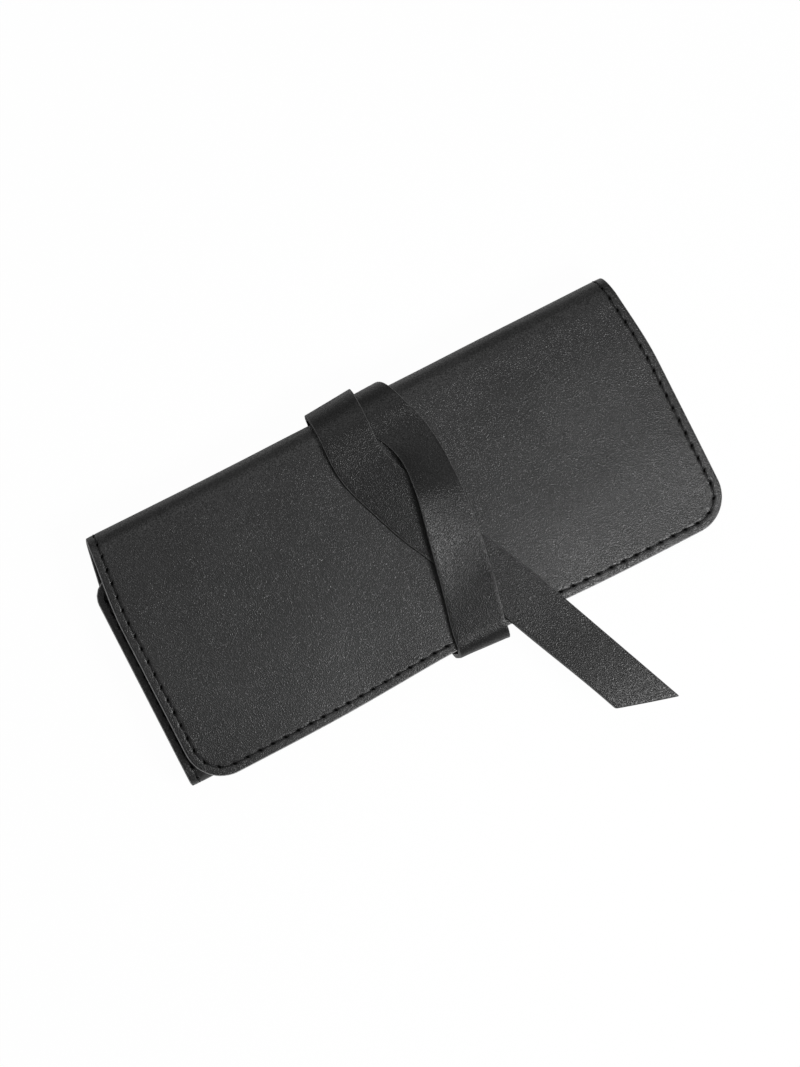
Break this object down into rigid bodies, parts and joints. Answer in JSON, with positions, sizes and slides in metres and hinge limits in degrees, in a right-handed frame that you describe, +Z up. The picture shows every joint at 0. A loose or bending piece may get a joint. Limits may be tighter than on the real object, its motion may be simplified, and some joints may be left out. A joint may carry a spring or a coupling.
{
  "type": "cable organizer roll",
  "caption": "Flat leather roll for cables: a lined tri-fold sheet with a pocket and a cable band inside, closed by a leather strap wound round it and tucked under itself.",
  "frame": {"origin": "under the middle of the case, on the flat underside of the strap's lowest run", "axes": "+X along the roll, +Y towards the back fold that the flap turns on, +Z up through the closed layers"},
  "size_m": [0.203, 0.1412, 0.0283],
  "materials": {
    "case_leather": "black fine-grained leather, satin",
    "lining": "black suede lining, matte",
    "pocket_leather": "black fine-grained leather, satin",
    "elastic": "black woven elastic",
    "strap_leather": "black fine-grained leather, satin, cut edges"
  },
  "bodies": {
    "base": {"base_leather": "case_leather", "base_lining": "lining", "front_fold_leather": "case_leather", "front_fold_lining": "lining", "cable_band": "elastic", "strap_anchor_run": "strap_leather", "strap_front_return": "strap_leather", "strap_under_run": "strap_leather"},
    "back_fold": {"back_lower_bend_leather": "case_leather", "back_lower_bend_lining": "lining", "back_wall_leather": "case_leather", "back_wall_lining": "lining", "back_upper_bend_leather": "case_leather", "back_upper_bend_lining": "lining", "strap_first_back_turn": "strap_leather", "strap_second_back_turn": "strap_leather"},
    "flap": {"flap_leather": "case_leather", "flap_lining": "lining", "strap_over_wrap": "strap_leather", "strap_front_drop": "strap_leather", "strap_tuck_run": "strap_leather"},
    "inner_panel": {"inner_panel_leather": "case_leather", "inner_panel_lining": "lining", "pocket_panel": "pocket_leather"},
    "strap_tail": {"strap_tail": "strap_leather"}
  },
  "joints": [
    {"name": "back_fold_hinge", "type": "hinge", "parent": "base", "child": "back_fold", "pos_m": [0, 0.04308, 0.00642], "axis": [-1, 0, 0], "range_deg": [0, 90], "deforming": ["back_lower_bend_leather", "back_lower_bend_lining", "strap_first_back_turn", "strap_second_back_turn"]},
    {"name": "flap_hinge", "type": "hinge", "parent": "back_fold", "child": "flap", "pos_m": [0, 0.04315, 0.02039], "axis": [-1, 0, 0], "range_deg": [0, 90], "deforming": ["back_upper_bend_leather", "back_upper_bend_lining"]},
    {"name": "inner_panel_hinge", "type": "hinge", "parent": "base", "child": "inner_panel", "pos_m": [0, -0.04135, 0.01], "axis": [1, 0, 0], "range_deg": [0, 54], "deforming": ["front_fold_leather", "front_fold_lining"]},
    {"name": "strap_tail_lift", "type": "hinge", "parent": "flap", "child": "strap_tail", "pos_m": [0.02412, -0.04068, 0.02263], "axis": [-0.938, -0.3461, -0.0199], "range_deg": [0, 60]}
  ],
  "couplings": [
    {"joint": "flap_hinge", "follows": "back_fold_hinge", "ratio": 1},
    {"joint": "inner_panel_hinge", "follows": "back_fold_hinge", "ratio": 0.6}
  ]
}
